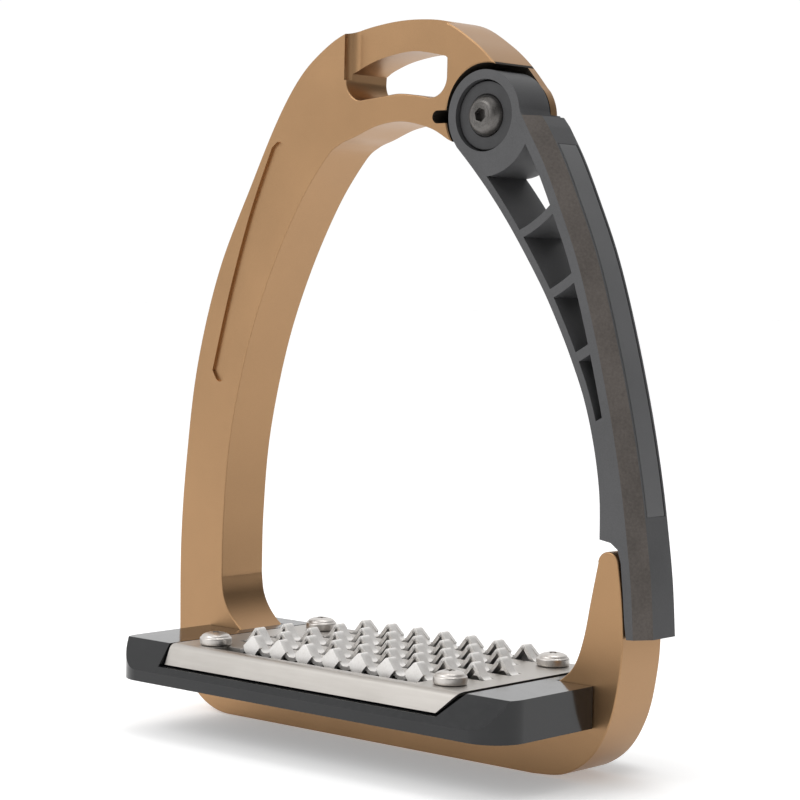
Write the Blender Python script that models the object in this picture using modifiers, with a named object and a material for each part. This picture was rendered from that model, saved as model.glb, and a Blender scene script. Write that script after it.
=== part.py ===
"""Safety stirrup iron: open metal frame, sprung release arm and bolted grip tread.

Frame of reference: X across the foot opening with the release arm at +X, Y front (-) to back (+), Z up.
The origin is the centre of the bottom bar's flat underside.  Lengths are in millimetres until they reach
Blender, and MM turns them into metres.
"""
import math

import bmesh
import bpy
from mathutils import Matrix, Vector

MM = 0.001

# Frame: driving dimensions
INNER_HALF = 59.4          # half of the foot opening's width
OPENING_TOP = 153.0        # height of the underside of the arch
OVERALL_HEIGHT = 177.8     # underside to the top of the leather bar
FRAME_DEPTH = 15.2         # front face to rear face
EDGE_RADIUS = 1.1          # eased edges of the frame
GAP = 0.3                  # assembly gap between touching pieces
BAR_SETBACK = 3.0          # the leather bar stands behind the frame's front face
PANEL_DEPTH = 0.8          # recessed panel in the left branch

# Hinge: driving dimensions
HUB_X = 25.6
HUB_Z = 153.8
HUB_RADIUS = 10.8          # round ear of the arm
POCKET_RADIUS = 11.8       # pocket in the frame
POCKET_X, POCKET_Z = 25.7, 154.4
LUG_RADIUS = 10.4          # rear lug of the frame
LUG_THICKNESS = 2.7
DISC_RADIUS = 8.15
DISC_THICKNESS = 2.2
DISC_RECESS = 1.0          # the disc's face lies this far below the ear's face
EAR_REAR = 4.0             # rear face of the ear, in front of the slip washer and the lug
WASHER_THICKNESS = 0.4
BARREL_RADIUS = 4.2
BARREL_BORE = 2.8
BARREL_FLANGE_RADIUS = 6.4
BARREL_FLANGE = 1.1
HINGE_SCREW_RADIUS = 2.5
HINGE_HEAD_RADIUS = 4.9
HINGE_HEAD_HEIGHT = 2.75
HINGE_HEAD_SINK = 0.6      # the head's seat lies this far below the disc's face
HINGE_SOCKET = 1.73        # corner radius of the hexagon socket
SPRING_WIRE_RADIUS = 0.55
SPRING_COIL_RADIUS = 5.6
SPRING_PITCH = 1.3
SPRING_TURNS = 3
SPRING_CHAMBER_RADIUS = 6.6
SPRING_FRONT = -1.0        # front end of the coil
RELEASE_ANGLE = 45.0       # outward travel of the arm in degrees

# Arm: driving dimensions
ARM_LOW_Z = 34.4           # lower end of the arm
ARM_CHAMFER = 3.3          # width and depth of the arm's front and rear outer chamfers
INNER_WALL = 1.8           # arm's inner wall beside the windows
OUTER_WALL = 2.4           # arm's front outer edge to the windows
WINDOW_BANDS = ((14.5, 29.4), (31.4, 45.7), (47.9, 62.0), (64.3, 78.6))
STRIP_HALF_WIDTH = 3.4
STRIP_THICKNESS = 0.9

# Tread: driving dimensions
TREAD_Y = -11.1            # the tread's own centre line, forward of the frame's
TREAD_TOP = 22.8
TREAD_BOTTOM = 13.0
BASE_LEFT, BASE_RIGHT = -63.6, 62.0
BASE_HALF_DEPTH = 31.0
BASE_CORNER = 9.0
CREASE_HALF = 26.0         # flat top to flange, from the tread's centre line
RIM_HALF = 30.0            # foot of the slope
RIM_Z = 17.2
PLATE_LEFT, PLATE_RIGHT = -47.0, 46.6
FLANGE_LEAN = 5.7          # how much shorter the flanges are at their foot, on the right
PLATE_ROOM_LEFT, PLATE_ROOM_RIGHT = 0.5, 2.0   # between the plate's ends and the pocket in the base
PLATE_THICKNESS = 1.2
EDGE_SLOT_FRONT, EDGE_SLOT_REAR = 2.6, 0.6     # from the flange's bend to the outermost slots
FLANGE_END_HALF = 28.2
TOOTH_HEIGHT = 3.6
TOOTH_PITCH_X = 8.8
TOOTH_PITCH_Y = 10.05
TOOTH_HALF_WIDTH = 3.9
TOOTH_LENGTH = 2.8
TEETH_Y = -8.3             # middle row of teeth
FIRST_TOOTH_X = -25.7
SCREW_X = 38.1
SCREW_Y = 19.2
HEAD_RADIUS = 4.0
HEAD_HEIGHT = 3.2
THREAD_RADIUS = 2.0
INSERT_RADIUS = 2.9
INSERT_LENGTH = 4.2
BASE_SCREW_X = 20.0
BASE_INSERT_LENGTH = 5.4

FRONT = -FRAME_DEPTH / 2
REAR = FRAME_DEPTH / 2
BAR_TOP = 13.4
SEAT = 0.12                # gap under screw heads and other faces that rest on each other

for old in list(bpy.data.objects):
    bpy.data.objects.remove(old, do_unlink=True)

parts = bpy.data.collections.new("stirrup_iron")
cutters = bpy.data.collections.new("cutters")
for collection in (parts, cutters):
    bpy.context.scene.collection.children.link(collection)


def material(name, color, roughness, metallic):
    """Principled material for one piece."""
    mat = bpy.data.materials.new(name)
    mat.use_nodes = True
    shader = mat.node_tree.nodes["Principled BSDF"]
    shader.inputs["Base Color"].default_value = (*color, 1)
    shader.inputs["Roughness"].default_value = roughness
    shader.inputs["Metallic"].default_value = metallic
    return mat


BRONZE = material("bronze_anodised", (0.47, 0.29, 0.15), 0.38, 1)
ARM_PLASTIC = material("arm_plastic", (0.085, 0.085, 0.09), 0.55, 0)
STRIP_PLASTIC = material("strip_plastic", (0.1, 0.1, 0.105), 0.4, 0)
BLACK_OXIDE = material("black_oxide_steel", (0.07, 0.07, 0.07), 0.35, 1)
STEEL = material("stainless_steel", (0.62, 0.59, 0.56), 0.3, 1)
SPRING_STEEL = material("spring_steel", (0.35, 0.35, 0.36), 0.3, 1)
NYLON = material("nylon_washer", (0.75, 0.74, 0.7), 0.5, 0)
BASE_PLASTIC = material("base_plastic", (0.02, 0.02, 0.022), 0.15, 0)
BRASS = material("brass", (0.7, 0.5, 0.2), 0.35, 1)


# ---------------------------------------------------------------- helpers

def put(obj, name, mat, collection=parts):
    """Name a finished object, give it its material and file it."""
    obj.name = name
    for owner in list(obj.users_collection):
        owner.objects.unlink(obj)
    collection.objects.link(obj)
    if mat:
        obj.data.materials.clear()
        obj.data.materials.append(mat)
    return obj


def mesh_object(bm, name, mat=None, collection=parts):
    """Turn a bmesh into an object."""
    bmesh.ops.recalc_face_normals(bm, faces=bm.faces)
    mesh = bpy.data.meshes.new(name)
    bm.to_mesh(mesh)
    bm.free()
    obj = bpy.data.objects.new(name, mesh)
    bpy.context.scene.collection.objects.link(obj)
    return put(obj, name, mat, collection)


def smooth(obj, angle=35):
    """Shade round surfaces smooth and keep real edges sharp."""
    obj.data.shade_smooth()
    obj.data.set_sharp_from_angle(angle=math.radians(angle))
    return obj


def as_cutter(obj):
    """File an object as a boolean cutter that is not part of the model."""
    put(obj, obj.name, None, cutters)
    obj.hide_render = True
    obj.display_type = "WIRE"
    return obj


def cut(obj, cutter, operation="DIFFERENCE"):
    """Apply a boolean to a mesh object straight away."""
    modifier = obj.modifiers.new(cutter.name, "BOOLEAN")
    modifier.operation = operation
    modifier.solver = "EXACT"
    modifier.object = cutter
    bake(obj)
    return obj


def bake(obj):
    """Replace an object's mesh by its evaluated mesh."""
    depsgraph = bpy.context.evaluated_depsgraph_get()
    depsgraph.update()
    mesh = bpy.data.meshes.new_from_object(obj.evaluated_get(depsgraph))
    bm = bmesh.new()
    bm.from_mesh(mesh)
    bmesh.ops.remove_doubles(bm, verts=bm.verts, dist=2e-6)
    bmesh.ops.dissolve_degenerate(bm, edges=bm.edges, dist=2e-6)
    bm.to_mesh(mesh)
    bm.free()
    obj.modifiers.clear()
    obj.data = mesh
    return obj


def arc(cx, cz, radius, start, end, steps):
    """Points on an arc, angles in degrees, both ends included."""
    angles = [math.radians(start + (end - start) * i / steps) for i in range(steps + 1)]
    return [(cx + radius * math.cos(a), cz + radius * math.sin(a)) for a in angles]


def flowing(points, steps=4):
    """Smooth curve through the given points (centripetal-like Catmull-Rom), ends included."""
    guide = [points[0]] + list(points) + [points[-1]]
    out = []
    for i in range(1, len(guide) - 2):
        p0, p1, p2, p3 = (Vector(guide[i + k]) for k in (-1, 0, 1, 2))
        for step in range(steps):
            t = step / steps
            out.append(tuple(0.5 * (2 * p1 + (p2 - p0) * t + (2 * p0 - 5 * p1 + 4 * p2 - p3) * t * t
                                    + (3 * p1 - p0 - 3 * p2 + p3) * t ** 3)))
    out.append(tuple(points[-1]))
    return out


def profile_solid(name, outlines, y_front, y_rear, mat=None, round_edge=0.0, offset=0.0, collection=parts):
    """Flat outlines in the XZ plane given thickness along Y, as a welded mesh."""
    curve = bpy.data.curves.new(name, "CURVE")
    curve.dimensions = "2D"
    curve.fill_mode = "BOTH"
    curve.extrude = ((y_rear - y_front) / 2 - round_edge) * MM
    curve.bevel_depth = round_edge * MM
    curve.bevel_resolution = 0
    curve.offset = (offset - round_edge) * MM
    for outline in outlines:
        spline = curve.splines.new("POLY")
        spline.points.add(len(outline) - 1)
        for point, (x, z) in zip(spline.points, outline):
            point.co = (x * MM, z * MM, 0, 1)
        spline.use_cyclic_u = True
    source = bpy.data.objects.new(name, curve)
    source.rotation_euler = (math.pi / 2, 0, 0)
    source.location = (0, (y_front + y_rear) / 2 * MM, 0)
    bpy.context.scene.collection.objects.link(source)
    return welded_from_curve(source, name, mat, collection)


def welded_from_curve(source, name, mat, collection=parts):
    """Mesh copy of a curve object with its caps welded on, placed where the curve was."""
    depsgraph = bpy.context.evaluated_depsgraph_get()
    depsgraph.update()
    mesh = bpy.data.meshes.new_from_object(source.evaluated_get(depsgraph))
    place = source.matrix_world.copy()
    bpy.data.objects.remove(source, do_unlink=True)
    bm = bmesh.new()
    bm.from_mesh(mesh)
    bpy.data.meshes.remove(mesh)
    bmesh.ops.remove_doubles(bm, verts=bm.verts, dist=2e-6)
    bmesh.ops.transform(bm, matrix=place, verts=bm.verts)
    return mesh_object(bm, name, mat, collection)


def box(name, low, high, mat=None, collection=parts):
    """Axis-aligned block from its low and high corners."""
    bm = bmesh.new()
    bmesh.ops.create_cube(bm, size=1)
    for v in bm.verts:
        v.co = Vector([(low[i] + high[i]) / 2 * MM + v.co[i] * (high[i] - low[i]) * MM for i in range(3)])
    return mesh_object(bm, name, mat, collection)


def turned(name, profile, place, mat=None, segments=32, collection=parts):
    """Solid of revolution: profile of (radius, height) from the top axis point down to the bottom one."""
    mesh = bpy.data.meshes.new(name)
    mesh.from_pydata([(r * MM, 0, h * MM) for r, h in profile], [(i, i + 1) for i in range(len(profile) - 1)], [])
    obj = bpy.data.objects.new(name, mesh)
    bpy.context.scene.collection.objects.link(obj)
    screw = obj.modifiers.new("turn", "SCREW")
    screw.angle = 2 * math.pi
    screw.steps = segments
    screw.render_steps = segments
    screw.use_merge_vertices = True
    screw.merge_threshold = 0.00001
    bake(obj)
    obj.data.transform(place)
    obj.matrix_world = Matrix.Identity(4)
    bm = bmesh.new()
    bm.from_mesh(obj.data)
    bmesh.ops.recalc_face_normals(bm, faces=bm.faces)
    bm.to_mesh(obj.data)
    bm.free()
    return put(obj, name, mat, collection)


def along_y(x, y, z, facing=-1):
    """Placement that turns a piece's own +Z to face -Y (or +Y)."""
    turn = Matrix.Rotation(math.pi / 2 * -facing, 4, "X")
    return Matrix.Translation((x * MM, y * MM, z * MM)) @ turn


def upright(x, y, z):
    """Placement that keeps a piece's own +Z up."""
    return Matrix.Translation((x * MM, y * MM, z * MM))


def upside_down(x, y, z):
    """Placement that turns a piece's own +Z down."""
    return Matrix.Translation((x * MM, y * MM, z * MM)) @ Matrix.Rotation(math.pi, 4, "X")


def rod(name, x, z, radius, y_front, y_rear, segments=32):
    """Cylinder along Y, used as a cutter."""
    bm = bmesh.new()
    bmesh.ops.create_cone(bm, cap_ends=True, segments=segments, radius1=radius * MM, radius2=radius * MM,
                          depth=(y_rear - y_front) * MM, matrix=along_y(x, (y_front + y_rear) / 2, z))
    return as_cutter(mesh_object(bm, name))


def post(name, x, y, radius, z_low, z_high, segments=16):
    """Upright cylinder, used as a cutter."""
    bm = bmesh.new()
    bmesh.ops.create_cone(bm, cap_ends=True, segments=segments, radius1=radius * MM, radius2=radius * MM,
                          depth=(z_high - z_low) * MM, matrix=upright(x, y, (z_low + z_high) / 2))
    return as_cutter(mesh_object(bm, name))


# ---------------------------------------------------------------- frame

def frame_outline():
    """Outer boundary of the frame, clockwise from the bottom centre up the left branch."""
    left_corner = arc(-56.2, 18.8, 18.8, 270, 180, 10)
    left_side = flowing([(-75.0, 20), (-75.2, 44), (-73.6, 66), (-70.0, 91), (-62.4, 116),
                         (-51.0, 138.5), (-42.2, 154.5), (-35.0, 164.5), (-28.0, 170.6), (-19.4, 175.2),
                         (-8.0, 177.4), (3.0, 177.8), (13.0, 176.4), (21.4, 171.8), (27.6, 166.9),
                         (33.0, 161.0)])
    lug = arc(HUB_X, HUB_Z, LUG_RADIUS, 38, -140, 16)
    arch = flowing([(14.6, 148.3), (8.8, 151.2), (0, 153), (-8, 152.2), (-15.5, 149.6), (-20.6, 147.8),
                    (-25.2, 144.4), (-34.0, 133.1), (-43.7, 115.6), (-51.5, 96.2), (-57.2, 73),
                    (-59.2, 52), (-59.4, 36)])
    left_fillet = flowing([(-59.4, 36), (-58.6, 31.0), (-56.4, 26.9), (-52.6, 23.3), (-46.5, 19.6),
                           (-38, 15.6), (-28, 13.9), (-16, BAR_TOP)])
    right_fillet = flowing([(16, BAR_TOP), (28, 13.9), (38, 15.6), (46.5, 19.6), (52.6, 23.3), (56.2, 27.0),
                            (58.6, 33.5), (60.4, 42.5), (62.2, 51.2)])
    stub_top = arc(65.0, 51.0, 2.9, 175, 20, 6)
    stub_side = flowing([(67.9, 51.0), (69.0, 43.5), (69.7, 34), (69.0, 25.0), (66.6, 14.6), (61.6, 6.2),
                         (54.0, 1.2), (45.0, 0.0)])
    path = []
    for piece in (left_corner, left_side, lug, arch, left_fillet, right_fillet, stub_top, stub_side):
        path += piece
    return without_repeats(path)


def without_repeats(path):
    """Drop points that coincide with their neighbour."""
    clean = []
    for point in path:
        if not clean or (Vector(point) - Vector(clean[-1])).length > 0.05:
            clean.append(point)
    if (Vector(clean[0]) - Vector(clean[-1])).length < 0.05:
        clean.pop()
    return clean


def eye_outline():
    """Slot for the stirrup leather: arched top, rounded corners, slightly wavy floor."""
    floor_left = arc(-13.5, 163.6, 5.0, 180, 265, 5)
    floor = flowing([(-13.9, 158.6), (-6.0, 159.4), (-1.0, 159.8), (5.0, 159.2), (8.6, 158.5)])
    floor_right = arc(8.9, 163.5, 5.0, 275, 360, 5)
    roof = flowing([(13.9, 167.9), (7.2, 169.4), (0.0, 170.2), (-9.0, 169.0), (-15.4, 167.0), (-18.4, 165.4)])
    return without_repeats(floor_left + floor + floor_right + roof)


def panel_outline():
    """Recessed panel in the front of the left branch."""
    outer = flowing([(-64.2, 89.9), (-58.4, 110.4), (-51.2, 131.2), (-43.9, 147.5)])
    tip = flowing([(-43.9, 147.5), (-41.7, 149.0), (-39.6, 148.1), (-36.3, 145.2), (-33.0, 142.7),
                   (-32.2, 140.8), (-33.2, 138.5)])
    inner = flowing([(-33.2, 138.5), (-35.4, 136.0), (-41.9, 126.3), (-48.5, 114.5), (-55.1, 100.5),
                     (-59.6, 88.9)])
    foot = flowing([(-59.6, 88.9), (-60.6, 87.2), (-62.4, 87.3), (-64.2, 89.9)])
    return without_repeats(outer + tip + inner + foot)


def build_frame():
    """Frame with its eye, hub pocket, spring slot, recessed panel and screw holes."""
    frame = profile_solid("frame", [frame_outline(), eye_outline()], FRONT, REAR, BRONZE, EDGE_RADIUS)
    bar_cut = [(-19.0, 180), (-19.0, 166.0), (-17.6, 163.6), (-13.0, 161.5), (13.7, 164.0), (13.7, 180.0)]
    floor = FRONT + BAR_SETBACK
    cut(frame, as_cutter(profile_solid("bar_cut", [bar_cut], FRONT - 2, floor)))
    cut(frame, as_cutter(profile_solid("panel_cut", [panel_outline()], FRONT - 2, FRONT + PANEL_DEPTH)))
    cut(frame, rod("pocket_cut", POCKET_X, POCKET_Z, POCKET_RADIUS, FRONT - 2, REAR - LUG_THICKNESS, 40))
    cut(frame, rod("barrel_hole", HUB_X, HUB_Z, BARREL_RADIUS + GAP, FRONT, REAR + 2))
    recess_floor = REAR - BARREL_FLANGE - GAP
    cut(frame, rod("flange_recess", HUB_X, HUB_Z, BARREL_FLANGE_RADIUS + GAP, recess_floor, REAR + 2))
    slot = arc(11.3, HUB_Z, 1.55, 90, 270, 8) + [(HUB_X - 8, HUB_Z - 1.55), (HUB_X - 8, HUB_Z + 1.55)]
    cut(frame, as_cutter(profile_solid("spring_slot", [slot], FRONT - 2, REAR - LUG_THICKNESS - 0.7)))
    for i, x in enumerate((-BASE_SCREW_X, BASE_SCREW_X)):
        cut(frame, post(f"bar_hole_{i}", x, 0, THREAD_RADIUS + GAP, -2, BAR_TOP + 6))
        cut(frame, post(f"bar_recess_{i}", x, 0, HEAD_RADIUS + GAP, -2, HEAD_HEIGHT + GAP))
    return smooth(frame)


# ---------------------------------------------------------------- release arm

def arm_front_edge():
    """The arm's outer front edge, from beside the hub down to the lower end."""
    return flowing([(39.4, 149.6), (44.0, 142.0), (48.6, 132.6), (53.6, 121.4), (57.5, 110.3), (61.4, 97.2),
                    (65.0, 83.4), (68.0, 69.5), (70.1, 57.0), (71.6, 46.0), (72.5, ARM_LOW_Z)])


def arm_inner_edge():
    """The arm's inner edge, from the notch over the stub up to the ear."""
    return flowing([(62.5, 56.5), (62.1, 66.9), (60.2, 77.7), (57.2, 88.0), (53.2, 97.2), (48.7, 105.9),
                    (43.6, 114.5), (35.2, 126.5), (28.4, 135.0), (22.4, 141.6), (17.6, 146.4)])


def shifted(line, distance):
    """Line moved sideways by a distance, to the right of its running direction."""
    moved = []
    for i, point in enumerate(line):
        along = Vector(line[min(i + 1, len(line) - 1)]) - Vector(line[max(i - 1, 0)])
        along.normalize()
        moved.append((point[0] + along.y * distance, point[1] - along.x * distance))
    return moved


def arm_outline():
    """Side view of the arm at its widest: round ear, curved beam, lip outside the stub."""
    ear = arc(HUB_X, HUB_Z, HUB_RADIUS, 217, 6, 20) + [(37.0, HUB_Z - 0.2)]
    outer = [(40.4, HUB_Z - 0.3)] + shifted(arm_front_edge(), -ARM_CHAMFER)
    lip = [(70.6, ARM_LOW_Z), (70.0, 38.0), (69.4, 44.6), (68.6, 51.6), (67.6, 54.6), (65.6, 56.0)]
    return ear, outer, lip, arm_inner_edge()


def radius_from_hub(point):
    """Distance from the hub's axis."""
    return math.hypot(point[0] - HUB_X, point[1] - HUB_Z)


def between_radii(line, low, high):
    """The part of a line whose distance from the hub lies between two radii, with exact ends."""
    points = sorted(line, key=radius_from_hub)
    radii = [radius_from_hub(p) for p in points]

    def at(radius):
        for i in range(1, len(points)):
            if radii[i] >= radius:
                t = (radius - radii[i - 1]) / (radii[i] - radii[i - 1])
                return tuple(Vector(points[i - 1]).lerp(Vector(points[i]), t))
        return points[-1]

    return [at(low)] + [p for p, r in zip(points, radii) if low + 0.4 < r < high - 0.4] + [at(high)]


def window_outline(low, high):
    """Window between two ribs that are concentric with the hub."""
    inner = between_radii(shifted(arm_inner_edge(), INNER_WALL), low, high)
    outer = between_radii(shifted(arm_front_edge(), OUTER_WALL), low, high)

    def rib(radius, start, end):
        a, b = (math.degrees(math.atan2(p[1] - HUB_Z, p[0] - HUB_X)) for p in (start, end))
        return arc(HUB_X, HUB_Z, radius, a, b, 5)[1:-1]

    return without_repeats(inner + rib(high, inner[-1], outer[-1]) + outer[::-1] + rib(low, outer[0], inner[0]))


def strip_line():
    """Outer face line of the arm along the inlaid strip."""
    outer = shifted(arm_front_edge(), -ARM_CHAMFER)
    return outer[3:32]


def strip_outline(grow):
    """Side view of the inlaid strip, or of its recess when grown by the assembly gap."""
    line = strip_line()
    if grow:
        first = Vector(line[0]) + (Vector(line[0]) - Vector(line[1])).normalized() * grow
        last = Vector(line[-1]) + (Vector(line[-1]) - Vector(line[-2])).normalized() * grow
        line = [tuple(first)] + line[1:-1] + [tuple(last)]
    face = shifted(line, -1.0 if grow else 0.0)
    back = shifted(line, STRIP_THICKNESS + grow)
    return face + back[::-1]


def build_arm():
    """Release arm: chamfered slab with ear, windows, hinge bores and the strip's recess."""
    ear, outer, lip, inner = arm_outline()
    outline = ear + outer + lip + inner
    bm = bmesh.new()
    front = [bm.verts.new((x * MM, FRONT * MM, z * MM)) for x, z in outline]
    rear = [bm.verts.new((x * MM, REAR * MM, z * MM)) for x, z in outline]
    bm.faces.new(front)
    bm.faces.new(rear[::-1])
    count = len(outline)
    for i in range(count):
        bm.faces.new((front[i], rear[i], rear[(i + 1) % count], front[(i + 1) % count]))
    bmesh.ops.recalc_face_normals(bm, faces=bm.faces)
    start, stop = len(ear), len(ear) + len(outer)
    edges = [bm.edges.get((ring[i], ring[i + 1])) for ring in (front, rear) for i in range(start, stop - 1)]
    bmesh.ops.bevel(bm, geom=edges, offset=ARM_CHAMFER * MM, segments=1, affect="EDGES", clamp_overlap=False)
    arm = mesh_object(bm, "release_arm", ARM_PLASTIC)
    for i, (low, high) in enumerate(WINDOW_BANDS):
        cut(arm, as_cutter(profile_solid(f"window_{i}", [window_outline(low, high)], FRONT - 3, REAR + 3)))
    cut(arm, rod("lug_clearance", HUB_X, HUB_Z, LUG_RADIUS + 0.7, EAR_REAR, REAR + 3, 40))
    corner = (HUB_X + 25, REAR + 3, HUB_Z + 25)
    cut(arm, as_cutter(box("shoulder_cut", (HUB_X, EAR_REAR, HUB_Z + 0.4), corner)))
    disc_seat = FRONT + DISC_RECESS + DISC_THICKNESS + GAP
    cut(arm, rod("disc_recess", HUB_X, HUB_Z, DISC_RADIUS + 0.4, FRONT - 3, disc_seat, 40))
    cut(arm, rod("barrel_bore", HUB_X, HUB_Z, BARREL_RADIUS + GAP, FRONT - 3, REAR + 3))
    cut(arm, rod("spring_chamber", HUB_X, HUB_Z, SPRING_CHAMBER_RADIUS, SPRING_FRONT - 1.0, REAR + 3, 40))
    wall = arc(HUB_X, HUB_Z, SPRING_CHAMBER_RADIUS - 1, 186, 186 - RELEASE_ANGLE - 14, 8)
    rim = arc(HUB_X, HUB_Z, HUB_RADIUS + 3, 186 - RELEASE_ANGLE - 14, 186, 8)
    leg_y = SPRING_FRONT + SPRING_TURNS * SPRING_PITCH
    cut(arm, as_cutter(profile_solid("leg_window", [wall + rim], leg_y - 1.3, REAR + 3)))
    cut(arm, as_cutter(box("leg_groove", (HUB_X - 1.0 - SPRING_COIL_RADIUS, SPRING_FRONT - 0.9, HUB_Z - 8.3),
                           (HUB_X + 1.0 - SPRING_COIL_RADIUS, SPRING_FRONT + 0.9, HUB_Z))))
    recess = profile_solid("strip_recess", [strip_outline(GAP)], -STRIP_HALF_WIDTH - GAP, STRIP_HALF_WIDTH + GAP)
    cut(arm, as_cutter(recess))
    return smooth(arm)


def build_strip():
    """Smooth inlay in the arm's outer face."""
    strip = profile_solid("arm_outer_strip", [strip_outline(0)], -STRIP_HALF_WIDTH, STRIP_HALF_WIDTH, STRIP_PLASTIC)
    return smooth(strip)


# ---------------------------------------------------------------- hinge

def build_disc():
    """Flat disc recessed in the ear, with a shallow seat for the screw's head."""
    profile = [(HINGE_SCREW_RADIUS + GAP, DISC_THICKNESS - HINGE_HEAD_SINK),
               (HINGE_HEAD_RADIUS + GAP, DISC_THICKNESS - HINGE_HEAD_SINK),
               (HINGE_HEAD_RADIUS + GAP, DISC_THICKNESS), (DISC_RADIUS - 0.25, DISC_THICKNESS),
               (DISC_RADIUS, DISC_THICKNESS - 0.25), (DISC_RADIUS, 0),
               (HINGE_SCREW_RADIUS + GAP, 0), (HINGE_SCREW_RADIUS + GAP, DISC_THICKNESS - HINGE_HEAD_SINK)]
    place = along_y(HUB_X, FRONT + DISC_RECESS + DISC_THICKNESS, HUB_Z)
    return smooth(turned("hinge_disc", profile, place, BLACK_OXIDE, 32))


def screw_profile(head_radius, head_height, shank_radius, length):
    """Button head with its underside at height 0 and its shank below, top axis point first."""
    crown = head_radius * 0.58
    return [(0, head_height), (crown, head_height), (head_radius * 0.82, head_height * 0.74),
            (head_radius * 0.96, head_height * 0.42), (head_radius, head_height * 0.14), (head_radius, 0),
            (shank_radius, 0), (shank_radius, 0.5 - length), (shank_radius - 0.5, -length), (0, -length)]


def hex_socket(name, place, radius, depth, top):
    """Six-sided cutter for a screw's drive."""
    bm = bmesh.new()
    bmesh.ops.create_cone(bm, cap_ends=True, segments=6, radius1=radius * MM, radius2=radius * MM,
                          depth=(depth + 1) * MM,
                          matrix=place @ Matrix.Translation((0, 0, (top + 0.5 - depth / 2) * MM)))
    return as_cutter(mesh_object(bm, name))


def build_hinge_screw():
    """Button-head screw that holds the disc and the barrel together."""
    seat = FRONT + DISC_RECESS + HINGE_HEAD_SINK - SEAT
    place = along_y(HUB_X, seat, HUB_Z)
    profile = screw_profile(HINGE_HEAD_RADIUS, HINGE_HEAD_HEIGHT, HINGE_SCREW_RADIUS, 11.0)
    screw = turned("hinge_screw", profile, place, BLACK_OXIDE, 24)
    cut(screw, hex_socket("hinge_socket", place, HINGE_SOCKET, 1.7, HINGE_HEAD_HEIGHT))
    return smooth(screw)


def build_barrel():
    """Flanged barrel, threaded inside, let in from the rear: the axle that the ear turns on."""
    length = REAR - (FRONT + DISC_RECESS + DISC_THICKNESS + GAP)
    profile = [(BARREL_BORE, length), (BARREL_RADIUS, length), (BARREL_RADIUS, BARREL_FLANGE),
               (BARREL_FLANGE_RADIUS, BARREL_FLANGE), (BARREL_FLANGE_RADIUS, 0.3), (BARREL_FLANGE_RADIUS - 0.3, 0),
               (0, 0), (0, BARREL_FLANGE + 0.5), (BARREL_BORE, BARREL_FLANGE + 0.5), (BARREL_BORE, length)]
    return smooth(turned("hinge_barrel", profile, along_y(HUB_X, REAR, HUB_Z), STEEL, 24))


def build_washer():
    """Slip washer between the ear and the lug."""
    y = REAR - LUG_THICKNESS - 0.25
    inner, outer = BARREL_RADIUS + GAP, LUG_RADIUS - 1.2
    profile = [(inner, WASHER_THICKNESS), (outer, WASHER_THICKNESS), (outer, 0), (inner, 0),
               (inner, WASHER_THICKNESS)]
    return smooth(turned("hinge_washer", profile, along_y(HUB_X, y, HUB_Z), NYLON, 28))


def build_spring():
    """Torsion spring round the barrel: one leg in the frame's slot, the other in the ear."""
    curve = bpy.data.curves.new("torsion_spring", "CURVE")
    curve.dimensions = "3D"
    curve.bevel_depth = SPRING_WIRE_RADIUS * MM
    curve.bevel_resolution = 0
    curve.use_fill_caps = True
    per_turn = 12
    points = [(HUB_X - SPRING_COIL_RADIUS, SPRING_FRONT, HUB_Z - 7.6),
              (HUB_X - SPRING_COIL_RADIUS, SPRING_FRONT, HUB_Z - 3.0)]
    for i in range(SPRING_TURNS * per_turn + per_turn // 4 + 1):
        angle = math.pi - 2 * math.pi * i / per_turn
        y = SPRING_FRONT + SPRING_PITCH * i / per_turn
        points.append((HUB_X + SPRING_COIL_RADIUS * math.cos(angle), y,
                       HUB_Z + SPRING_COIL_RADIUS * math.sin(angle)))
    end_y = points[-1][1]
    points = points[:-3]
    points.append((HUB_X - 8.0, end_y, HUB_Z + 0.6))
    points.append((HUB_X - 13.6, end_y, HUB_Z))
    spline = curve.splines.new("POLY")
    spline.points.add(len(points) - 1)
    for point, place in zip(spline.points, points):
        point.co = (*(value * MM for value in place), 1)
    source = bpy.data.objects.new("torsion_spring", curve)
    bpy.context.scene.collection.objects.link(source)
    return smooth(welded_from_curve(source, "torsion_spring", SPRING_STEEL))


# ---------------------------------------------------------------- tread

def x_solid(name, section, left, right, mat=None, collection=parts, lean=0.0):
    """YZ section from the tread's centre line, from X left to X right.

    lean shortens the right end down the slope.
    """
    bm = bmesh.new()
    ends = []
    for x, slant in ((left, 0.0), (right, lean)):
        ends.append([bm.verts.new(((x - slant * (TREAD_TOP - z) / (TREAD_TOP - RIM_Z)) * MM,
                                   (TREAD_Y + y) * MM, z * MM)) for y, z in section])
    bm.faces.new(ends[0])
    bm.faces.new(ends[1][::-1])
    count = len(section)
    for i in range(count):
        j = (i + 1) % count
        bm.faces.new((ends[0][i], ends[0][j], ends[1][j], ends[1][i]))
    return mesh_object(bm, name, mat, collection)


def mirrored(half):
    """Full section from its front half, listed from the middle of the top round to the middle of the bottom."""
    return half + [(-y, z) for y, z in half[::-1]]


def rounded_plan(left, right, half_y, radius, z_low, z_high, name):
    """Upright block with rounded plan corners."""
    path = []
    for x, sy, start in ((right - radius, 1, 0), (left + radius, 1, 90), (left + radius, -1, 180),
                         (right - radius, -1, 270)):
        path += arc(x, TREAD_Y + sy * (half_y - radius), radius, start, start + 90, 6)
    curve = bpy.data.curves.new(name, "CURVE")
    curve.dimensions = "2D"
    curve.fill_mode = "BOTH"
    curve.extrude = (z_high - z_low) / 2 * MM
    spline = curve.splines.new("POLY")
    spline.points.add(len(path) - 1)
    for point, (x, y) in zip(spline.points, path):
        point.co = (x * MM, y * MM, 0, 1)
    spline.use_cyclic_u = True
    source = bpy.data.objects.new(name, curve)
    source.location = (0, 0, (z_low + z_high) / 2 * MM)
    bpy.context.scene.collection.objects.link(source)
    return as_cutter(welded_from_curve(source, name, None))


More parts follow.
